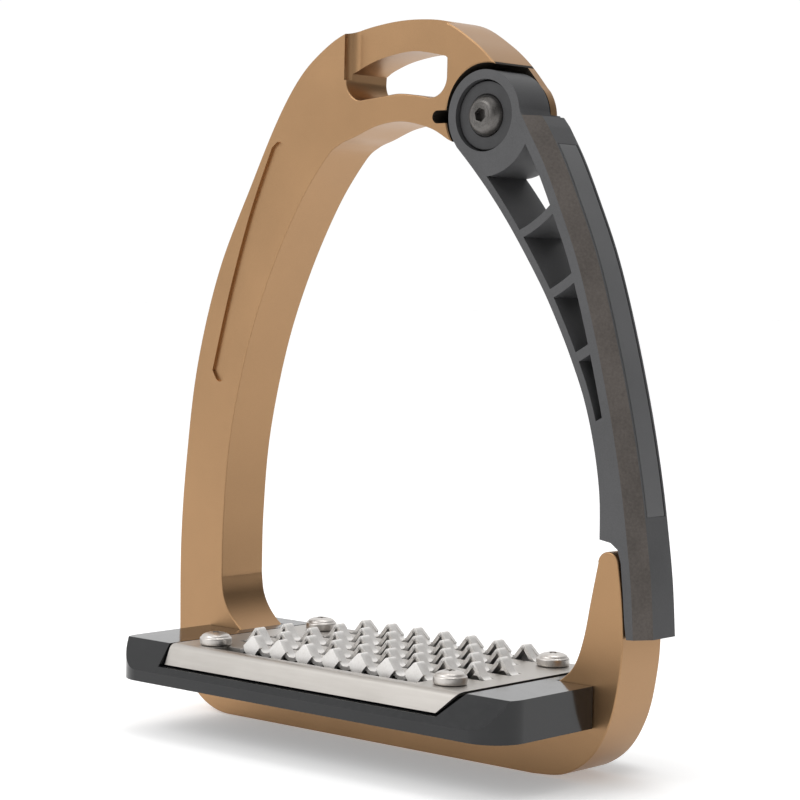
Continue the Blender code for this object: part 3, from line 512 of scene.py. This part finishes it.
def in_hub_recess(point):
    """Whether a point lies in the hub pocket or in the spring's slot, behind the eased edge."""
    behind_face = FRONT + EDGE < point.y < REAR - LUG_THICKNESS + 0.1
    pocket = math.hypot(point.x - POCKET_X, point.z - POCKET_Z) < POCKET_RADIUS + 0.1
    slot = 9.6 < point.x < POCKET_X and abs(point.z - HUB_Z) < 1.7
    return behind_face and (pocket or slot)


# ---------------------------------------------------------------- release arm

def arm_front_edge():
    """The arm's outer front edge, from beside the hub down to the lower end."""
    return flowing([(39.4, 149.6), (44.0, 142.0), (48.6, 132.6), (53.6, 121.4), (57.5, 110.3), (61.4, 97.2),
                    (65.0, 83.4), (68.0, 69.5), (70.1, 57.0), (71.6, 46.0), (72.5, ARM_LOW_Z)], 8)


def arm_inner_edge():
    """The arm's inner edge, from the notch over the stub up to the ear."""
    return flowing([(62.5, 56.5), (62.1, 66.9), (60.2, 77.7), (57.2, 88.0), (53.2, 97.2), (48.7, 105.9),
                    (43.6, 114.5), (35.2, 126.5), (28.4, 135.0), (22.4, 141.6), (17.6, 146.4)], 8)


def shifted(line, distance):
    """Line moved sideways by a distance, to the right of its running direction."""
    moved = []
    for i, point in enumerate(line):
        along = Vector(line[min(i + 1, len(line) - 1)]) - Vector(line[max(i - 1, 0)])
        along.normalize()
        moved.append((point[0] + along.y * distance, point[1] - along.x * distance))
    return moved


def radius_from_hub(point):
    """Distance from the hub's axis."""
    return math.hypot(point[0] - HUB_X, point[1] - HUB_Z)


def between_radii(line, low, high):
    """The part of a line whose distance from the hub lies between two radii, with exact ends."""
    points = sorted(line, key=radius_from_hub)
    radii = [radius_from_hub(p) for p in points]

    def at(radius):
        for i in range(1, len(points)):
            if radii[i] >= radius:
                t = (radius - radii[i - 1]) / (radii[i] - radii[i - 1])
                return tuple(Vector(points[i - 1]).lerp(Vector(points[i]), t))
        return points[-1]

    return [at(low)] + [p for p, r in zip(points, radii) if low + 0.4 < r < high - 0.4] + [at(high)]


def window_outline(low, high):
    """Window between two ribs that are concentric with the hub."""
    inner = between_radii(shifted(arm_inner_edge(), INNER_WALL), low, high)
    outer = between_radii(shifted(arm_front_edge(), OUTER_WALL), low, high)

    def rib(radius, start, end):
        a, b = (math.degrees(math.atan2(p[1] - HUB_Z, p[0] - HUB_X)) for p in (start, end))
        return arc(HUB_X, HUB_Z, radius, a, b, 8)[1:-1]

    high_rib, low_rib = rib(high, inner[-1], outer[-1]), rib(low, outer[0], inner[0])
    return without_repeats(inner + high_rib + outer[::-1] + low_rib)


def strip_outline(grow):
    """Side view of the inlaid strip, or of its recess when grown by the assembly gap."""
    line = shifted(arm_front_edge(), -ARM_CHAMFER)[5:62]
    face = shifted(line, -1.0 if grow else 0.0)
    back = shifted(line, STRIP_THICKNESS + grow)
    return face + back[::-1]


def build_arm():
    """Release arm: chamfered slab with ear, windows, hinge bores and the strip's recess."""
    ear = arc(HUB_X, HUB_Z, HUB_RADIUS, 217, 6, 56) + [(37.0, HUB_Z - 0.2)]
    outer = [(40.4, HUB_Z - 0.3)] + shifted(arm_front_edge(), -ARM_CHAMFER)
    lip = [(70.6, ARM_LOW_Z), (70.0, 38.0), (69.4, 44.6), (68.6, 51.6), (67.6, 54.6), (65.6, 56.0)]
    outline = ear + outer + lip + arm_inner_edge()
    bm = bmesh.new()
    front = [bm.verts.new((x * MM, FRONT * MM, z * MM)) for x, z in outline]
    rear = [bm.verts.new((x * MM, REAR * MM, z * MM)) for x, z in outline]
    bm.faces.new(front)
    bm.faces.new(rear[::-1])
    count = len(outline)
    for i in range(count):
        bm.faces.new((front[i], rear[i], rear[(i + 1) % count], front[(i + 1) % count]))
    bmesh.ops.recalc_face_normals(bm, faces=bm.faces)
    start, stop = len(ear), len(ear) + len(outer)
    edges = [bm.edges.get((ring[i], ring[i + 1])) for ring in (front, rear) for i in range(start, stop - 1)]
    made = bmesh.ops.bevel(bm, geom=edges, offset=ARM_CHAMFER * MM, segments=1, affect="EDGES",
                           clamp_overlap=False, material=1)
    for face in made["faces"]:
        face.material_index = 1
    obj = mesh_object(bm, "release_arm_body", ARM_GREY, ARM_BAND)
    for low, high in WINDOW_BANDS:
        cut(obj, profile_solid("window", [window_outline(low, high)], FRONT - 3, REAR + 3))
    cut(obj, rod("lug_clearance", HUB_X, HUB_Z, LUG_RADIUS + 0.7, EAR_REAR, REAR + 3))
    cut(obj, box("shoulder", (HUB_X, EAR_REAR, HUB_Z + 0.4), (HUB_X + 25, REAR + 3, HUB_Z + 25)))
    disc_seat = FRONT + DISC_RECESS + DISC_THICKNESS + GAP
    cut(obj, rod("disc_recess", HUB_X, HUB_Z, DISC_RADIUS + 0.4, FRONT - 3, disc_seat))
    cut(obj, rod("barrel_bore", HUB_X, HUB_Z, BARREL_RADIUS + GAP, FRONT - 3, REAR + 3))
    cut(obj, rod("spring_chamber", HUB_X, HUB_Z, SPRING_CHAMBER_RADIUS, -2.0, REAR + 3))
    wall = arc(HUB_X, HUB_Z, SPRING_CHAMBER_RADIUS - 1, 186, 127, 16)
    rim = arc(HUB_X, HUB_Z, HUB_RADIUS + 3, 127, 186, 16)
    cut(obj, profile_solid("leg_window", [wall + rim], 1.6, REAR + 3))
    cut(obj, profile_solid("strip_recess", [strip_outline(GAP)], -STRIP_HALF_WIDTH - GAP,
                           STRIP_HALF_WIDTH + GAP))
    return finished(obj, "release_arm", ["release_arm"], 0.45, 3, 28)


def build_strip():
    """Smooth inlay in the arm's outer face."""
    obj = profile_solid("arm_strip", [strip_outline(0)], -STRIP_HALF_WIDTH, STRIP_HALF_WIDTH,
                        mat=STRIP_GREY)
    return finished(obj, "release_arm", ["arm_outer_strip"], 0.25, 2)


# ---------------------------------------------------------------- hinge and screws

def build_disc():
    """Flat disc recessed in the ear, with a shallow seat for the screw's head."""
    seat = DISC_THICKNESS - 0.6
    profile = [(2.8, seat), (5.05, seat), (5.05, DISC_THICKNESS - 0.15), (5.2, DISC_THICKNESS),
               (DISC_RADIUS - 0.3, DISC_THICKNESS), (DISC_RADIUS - 0.08, DISC_THICKNESS - 0.08),
               (DISC_RADIUS, DISC_THICKNESS - 0.3), (DISC_RADIUS, 0), (2.8, 0), (2.8, seat)]
    place = along_y(HUB_X, FRONT + DISC_RECESS + DISC_THICKNESS, HUB_Z)
    obj = turned("hinge_cap_disc", profile, place, DISC_BLACK, 96)
    return finished(obj, "stirrup", ["hinge_disc"])


def drive(obj, place, sides, radius, depth, top, turn=0.0):
    """Cut a straight-sided socket into a screw's head."""
    bm = bmesh.new()
    spin = Matrix.Rotation(math.radians(turn), 4, "Z")
    bmesh.ops.create_cone(bm, cap_ends=True, segments=sides, radius1=radius * MM, radius2=radius * MM,
                          depth=(depth + 1) * MM,
                          matrix=place @ spin @ upright(0, 0, top + 0.5 - depth / 2))
    cut(obj, mesh_object(bm, "socket"))


def build_hinge_screw():
    """Button-head screw: domed head with a flat ring round its hexagon socket."""
    place = along_y(HUB_X, FRONT + DISC_RECESS + 0.6 - SEAT, HUB_Z)
    dome = [(2.5 + 2.45 * math.sin(math.radians(a)), 0.25 + 2.5 * math.cos(math.radians(a)) ** 1.35)
            for a in range(12, 91, 6)]
    shank = [(4.95, 0), (2.5, 0), (2.5, -10.5), (2.0, -11), (0, -11)]
    profile = [(0, 2.75), (2.45, 2.75), (2.58, 2.62)] + dome + shank
    obj = turned("hinge_button_screw", profile, place, DARK_STEEL, 96)
    drive(obj, place, 6, 1.73, 2.0, 2.75, 12)
    return finished(obj, "stirrup", ["hinge_screw"], 0.08, 2, 24)


def pan_head(radius, height, shank, length):
    """Pan head with a short upright side, a rounded shoulder and a nearly flat top."""
    side, rise = height * 0.5, height * 0.36
    crown = [(radius * 0.88 * math.sin(math.radians(a)), height - rise * (1 - math.cos(math.radians(a))))
             for a in range(0, 85, 7)]
    rim = [(radius - 0.3 + 0.3 * math.cos(math.radians(a)), side - 0.1 + 0.4 * math.sin(math.radians(a)))
           for a in range(75, -1, -15)]
    foot = [(radius - 0.45 + 0.45 * math.cos(math.radians(a)), 0.5 - 0.5 * math.sin(math.radians(a)))
            for a in range(0, 91, 15)]
    return crown + rim + foot + [(shank, 0), (shank, 0.5 - length), (shank - 0.5, -length), (0, -length)]


def build_screw(name, place, length, node, turn):
    """Pan-head screw with a small six-lobed drive."""
    obj = turned(name, pan_head(HEAD_RADIUS, HEAD_HEIGHT, THREAD_RADIUS, length), place, SCREW_STEEL, 72)
    for extra in (0, 60):
        drive(obj, place, 3, 1.5, 0.9, HEAD_HEIGHT, turn + extra)
    return finished(obj, "stirrup", [node], 0.06, 1)


def screw_places():
    """The four plate screws, front row first, left to right."""
    return [(sx * SCREW_X, TREAD_Y + sy * SCREW_Y) for sy in (-1, 1) for sx in (-1, 1)]


def build_screws():
    """Four screws through the plate and two up through the bottom bar."""
    for i, (x, y) in enumerate(screw_places(), 1):
        build_screw(f"plate_screw_{i}", upright(x, y, TREAD_TOP + SEAT), 5.4, f"tread_screw_{i}", 17 * i)
    flip = Matrix.Rotation(math.pi, 4, "X")
    for i, x in enumerate((-BASE_SCREW_X, BASE_SCREW_X), 1):
        place = upright(x, 0, HEAD_HEIGHT + GAP - SEAT) @ flip
        build_screw(f"bar_screw_{i}", place, BAR_TOP + 5.4 - HEAD_HEIGHT, f"base_screw_{i}", 25 * i)


# ---------------------------------------------------------------- tread

def x_solid(name, section, left, right, *mats, lean=0.0):
    """YZ section from the tread's centre line, from X left to X right.

    lean shortens the right end down the slope.
    """
    bm = bmesh.new()
    ends = []
    for x, slant in ((left, 0.0), (right, lean)):
        ends.append([bm.verts.new(((x - slant * (TREAD_TOP - z) / (TREAD_TOP - RIM_Z)) * MM,
                                   (TREAD_Y + y) * MM, z * MM)) for y, z in section])
    bm.faces.new(ends[0])
    bm.faces.new(ends[1][::-1])
    for i in range(len(section)):
        j = (i + 1) % len(section)
        bm.faces.new((ends[0][i], ends[0][j], ends[1][j], ends[1][i]))
    return mesh_object(bm, name, *mats)


def mirrored(half):
    """Full section from its front half, from the middle of the top round to the middle of the bottom."""
    return half + [(-y, z) for y, z in half[::-1]]


def rounded_block(name, left, right, half_y, radius, z_low, z_high):
    """Upright block with rounded plan corners."""
    path = []
    for x, sy, start in ((right - radius, 1, 0), (left + radius, 1, 90), (left + radius, -1, 180),
                         (right - radius, -1, 270)):
        path += arc(x, TREAD_Y + sy * (half_y - radius), radius, start, start + 90, 24)
    bm = bmesh.new()
    low = [bm.verts.new((x * MM, y * MM, z_low * MM)) for x, y in path]
    high = [bm.verts.new((x * MM, y * MM, z_high * MM)) for x, y in path]
    bm.faces.new(low[::-1])
    bm.faces.new(high)
    for i in range(len(path)):
        j = (i + 1) % len(path)
        bm.faces.new((low[i], low[j], high[j], high[i]))
    return mesh_object(bm, name)


def build_base():
    """Tread base: slab over the bottom bar with a wing in front of it and one behind."""
    top, low = TREAD_TOP, TREAD_BOTTOM
    half = [(-CREASE_HALF, top), (-BASE_HALF_DEPTH, RIM_Z - 1.4), (-BASE_HALF_DEPTH, low)]
    obj = x_solid("tread_base_body", mirrored(half), BASE_LEFT - 1, BASE_RIGHT + 1, GLOSS_BLACK)
    block = rounded_block("plan", BASE_LEFT, BASE_RIGHT, BASE_HALF_DEPTH + 0.01, BASE_CORNER, low - 3,
                          top + 3)
    cut(obj, block, "INTERSECT")
    rounded(obj, BASE_ROUNDING, 4, 25)
    depth = PLATE_THICKNESS + GAP
    pocket_half = [(-RIM_HALF - 3, top + 3), (-RIM_HALF - 3, RIM_Z + 0.1),
                   (-FLANGE_END_HALF + depth, RIM_Z + 0.1),
                   (-CREASE_HALF + depth * 0.7, top - depth)]
    pocket = x_solid("pocket", mirrored(pocket_half), PLATE_LEFT - PLATE_ROOM_LEFT,
                     PLATE_RIGHT + PLATE_ROOM_RIGHT, lean=FLANGE_LEAN)
    cut(obj, pocket)
    room = profile_solid("room", [frame_outline()], FRONT - GAP, REAR + GAP, 0, GAP)
    cut(obj, room)
    for x, y in screw_places():
        cut(obj, post("insert_pocket", x, y, 3.2, top - depth - 4.5, top + 2))
    for x in (-BASE_SCREW_X, BASE_SCREW_X):
        cut(obj, post("base_pocket", x, 0, 3.2, BAR_TOP - 4, BAR_TOP + 6.3))
    return finished(obj, "stirrup", ["tread_base"], 0.2, 2, 40)


def tooth_rows():
    """For each row from the front: its Y and the indices of its teeth along X."""
    long_row, short_row = range(-1, 8), range(0, 7)
    return [(TEETH_Y + (row - 2) * TOOTH_PITCH_Y, long_row if 0 < row < 3 else short_row)
            for row in range(5)]


def wave(columns):
    """Upper line of a strip of teeth: rounded peaks with shallow dips between them."""
    start = FIRST_TOOTH_X + (columns[0] - 0.5) * TOOTH_PITCH_X
    rise = [(0.0, -0.1), (0.6, -0.1), (1.05, 0.1), (1.6, 0.6), (3.0, 2.3), (3.5, 2.95), (3.9, 3.4),
            (4.15, 3.55)]
    shape = rise + [(TOOTH_PITCH_X / 2, 3.6)] + [(TOOTH_PITCH_X - x, z) for x, z in rise[:0:-1]]
    line = [(start + k * TOOTH_PITCH_X + x, TREAD_TOP + z) for k in range(len(columns)) for x, z in shape]
    return line + [(start + len(columns) * TOOTH_PITCH_X, TREAD_TOP)]


def ribbon(bm, line, y_low, y_high, thickness):
    """Strip of bent sheet that follows a line in XZ, with its thickness below the line."""
    lower = shifted(line, thickness)
    rings = []
    for (x, z), (lx, lz) in zip(line, lower):
        rings.append([bm.verts.new((px * MM, y * MM, pz * MM))
                      for px, y, pz in ((x, y_low, z), (x, y_high, z), (lx, y_high, lz), (lx, y_low, lz))])
    bm.faces.new(rings[0])
    bm.faces.new(rings[-1][::-1])
    for a, b in zip(rings, rings[1:]):
        for i in range(4):
            j = (i + 1) % 4
            bm.faces.new((a[i], b[i], b[j], a[j]))


def closing_face(bm, x, y, outward):
    """Closed front of an edge tooth: a five-sided face that narrows into a short leg."""
    half = [(0.45, 3.45, 0.0), (2.85, 0.95, 0.35), (2.0, -0.25, 0.7), (1.2, -1.5, 0.6)]
    outline = half + [(-px, pz, lean) for px, pz, lean in half[::-1]]
    outer, inner = ([bm.verts.new(((x + px) * MM, (y + outward * (lean + shift)) * MM,
                                   (TREAD_TOP + pz) * MM))
                     for px, pz, lean in outline] for shift in (0.1, -0.9))
    bm.faces.new(outer)
    bm.faces.new(inner[::-1])
    for i in range(len(outline)):
        j = (i + 1) % len(outline)
        bm.faces.new((outer[i], inner[i], inner[j], outer[j]))


def build_teeth():
    """Five strips of pressed teeth, the outer two with closed fronts and legs."""
    bm = bmesh.new()
    for row, (y, columns) in enumerate(tooth_rows()):
        ribbon(bm, wave(columns), y - TOOTH_LENGTH / 2, y + TOOTH_LENGTH / 2, TOOTH_SHEET)
        outward = {0: -1, 4: 1}.get(row)
        if outward:
            for column in columns:
                x = FIRST_TOOTH_X + column * TOOTH_PITCH_X
                closing_face(bm, x, y + outward * TOOTH_LENGTH / 2, outward)
    obj = mesh_object(bm, "grip_teeth", TOOTH_STEEL)
    return finished(obj, "stirrup", [], 0.18, 2, 40)


def build_plate():
    """Grip plate: flat sheet with bent-down edges, windows for the teeth and slots beside the borders."""
    top, thick = TREAD_TOP, PLATE_THICKNESS
    bend = [(-CREASE_HALF + 1.4, top), (-CREASE_HALF + 0.5, top - 0.12), (-CREASE_HALF - 0.2, top - 0.55),
            (-CREASE_HALF - 0.6, top - 1.15)]
    inner_bend = [(-CREASE_HALF + 0.75, top - 1.6), (-CREASE_HALF + 1.2, top - thick)]
    foot = [(-FLANGE_END_HALF, RIM_Z + 0.5), (-FLANGE_END_HALF + thick * 0.85, RIM_Z + 0.5)]
    half = bend + foot + inner_bend
    obj = x_solid("grip_plate", mirrored(half), PLATE_LEFT, PLATE_RIGHT, PLATE_STEEL, lean=FLANGE_LEAN)
    for y, columns in tooth_rows():
        left = FIRST_TOOTH_X + (columns[0] - 0.5) * TOOTH_PITCH_X
        right = FIRST_TOOTH_X + (columns[-1] + 0.5) * TOOTH_PITCH_X
        front, rear = y - TOOTH_LENGTH / 2 - WINDOW_FRONT, y + TOOTH_LENGTH / 2 + WINDOW_REAR
        cut(obj, box("window", (left, front, top - 3), (right, rear, top + 1)))
    x_low, x_high = FIRST_TOOTH_X - TOOTH_PITCH_X, FIRST_TOOTH_X + 6.5 * TOOTH_PITCH_X
    strip_end = 2 * TOOTH_PITCH_Y + TOOTH_LENGTH / 2
    slots = ((TREAD_Y - CREASE_HALF + EDGE_SLOT_FRONT, TEETH_Y - strip_end),
             (TEETH_Y + strip_end, TREAD_Y + CREASE_HALF - EDGE_SLOT_REAR))
    for y_low, y_high in slots:
        cut(obj, box("border_slot", (x_low, y_low, top - 2.1), (x_high, y_high, top + 1)))
    for x, y in screw_places():
        cut(obj, post("hole", x, y, THREAD_RADIUS + GAP, top - 3, top + 3))
    return finished(obj, "stirrup", ["tread_plate"], 0.22, 2, 30)


# ---------------------------------------------------------------- studio

def area_light(name, place, aim, size, power, color=(1, 1, 1)):
    """Softbox that points at the object."""
    data = bpy.data.lights.new(name, "AREA")
    data.shape = "RECTANGLE"
    data.size, data.size_y = size
    data.energy = power
    data.color = color
    lamp = bpy.data.objects.new(name, data)
    lamp.location = place
    lamp.rotation_euler = (Vector(aim) - Vector(place)).to_track_quat("-Z", "Y").to_euler()
    bpy.context.scene.collection.objects.link(lamp)


def build_studio():
    """Pale floor, soft world light and softboxes."""
    bm = bmesh.new()
    bmesh.ops.create_grid(bm, x_segments=1, y_segments=1, size=6)
    floor_mat, tree, shader, coords = nodes_of("studio floor")
    shader.inputs["Roughness"].default_value = 0.9
    shader.inputs["Specular IOR Level"].default_value = 0.1
    tint = spread(tree, noise(tree, coords, 3), 0, 1)
    tree.links.new(blended(tree, tint, (0.9, 0.9, 0.9), (0.92, 0.92, 0.92)), shader.inputs["Base Color"])
    shader.inputs["Emission Color"].default_value = (1, 1, 1, 1)
    shader.inputs["Emission Strength"].default_value = FLOOR_GLOW
    floor = mesh_object(bm, "studio_floor", floor_mat)
    floor.location = (0, 0, -0.0002)
    build_world()
    middle = (0, -0.01, 0.09)
    area_light("key", (-0.35, -0.75, 0.75), middle, (0.5, 0.5), 2.4)
    area_light("fill", (0.9, -0.35, 0.35), middle, (0.35, 0.7), 0.25)
    area_light("top", (0.0, 0.15, 0.9), middle, (0.6, 0.4), 1.6)


def build_world():
    """Soft light that is bright from the left and from above and dimmer from the right."""
    world = bpy.data.worlds.new("studio")
    world.use_nodes = True
    tree = world.node_tree
    direction = tree.nodes.new("ShaderNodeTexCoord").outputs["Generated"]
    toward = tree.nodes.new("ShaderNodeVectorMath")
    toward.operation = "DOT_PRODUCT"
    toward.inputs[1].default_value = (-0.9, -0.05, 0.42)
    tree.links.new(direction, toward.inputs[0])
    ramp = tree.nodes.new("ShaderNodeMapRange")
    ramp.interpolation_type = "SMOOTHSTEP"
    ramp.inputs["From Min"].default_value = -0.55
    ramp.inputs["From Max"].default_value = 0.45
    ramp.inputs["To Min"].default_value = WORLD_DIM
    ramp.inputs["To Max"].default_value = WORLD_BRIGHT
    tree.links.new(toward.outputs["Value"], ramp.inputs["Value"])
    background = tree.nodes["Background"]
    background.inputs["Color"].default_value = (1, 1, 1, 1)
    tree.links.new(ramp.outputs["Result"], background.inputs["Strength"])
    bpy.context.scene.world = world


def build_camera():
    """Camera at the viewing angle of the reference, slightly rolled."""
    data = bpy.data.cameras.new("camera")
    data.sensor_width = 36
    data.lens = 106.4
    data.clip_start, data.clip_end = 0.01, 50
    camera = bpy.data.objects.new("camera", data)
    azimuth, down, roll = math.radians(41.13), math.radians(3.0), math.radians(1.19)
    forward = Vector((-math.sin(azimuth) * math.cos(down), math.cos(azimuth) * math.cos(down),
                      -math.sin(down)))
    level_right = Vector((math.cos(azimuth), math.sin(azimuth), 0))
    level_up = level_right.cross(forward)
    right = level_right * math.cos(roll) + level_up * math.sin(roll)
    up = level_up * math.cos(roll) - level_right * math.sin(roll)
    turn = Matrix((right, up, -forward)).transposed().to_4x4()
    camera.matrix_world = Matrix.Translation((0.3805, -0.4418, 0.1155)) @ turn
    bpy.context.scene.collection.objects.link(camera)
    bpy.context.scene.camera = camera


build_frame()
build_arm()
build_strip()
build_disc()
build_hinge_screw()
build_base()
build_plate()
build_teeth()
build_screws()
carried_over()
build_studio()
build_camera()
bpy.context.scene.view_settings.view_transform = "Standard"
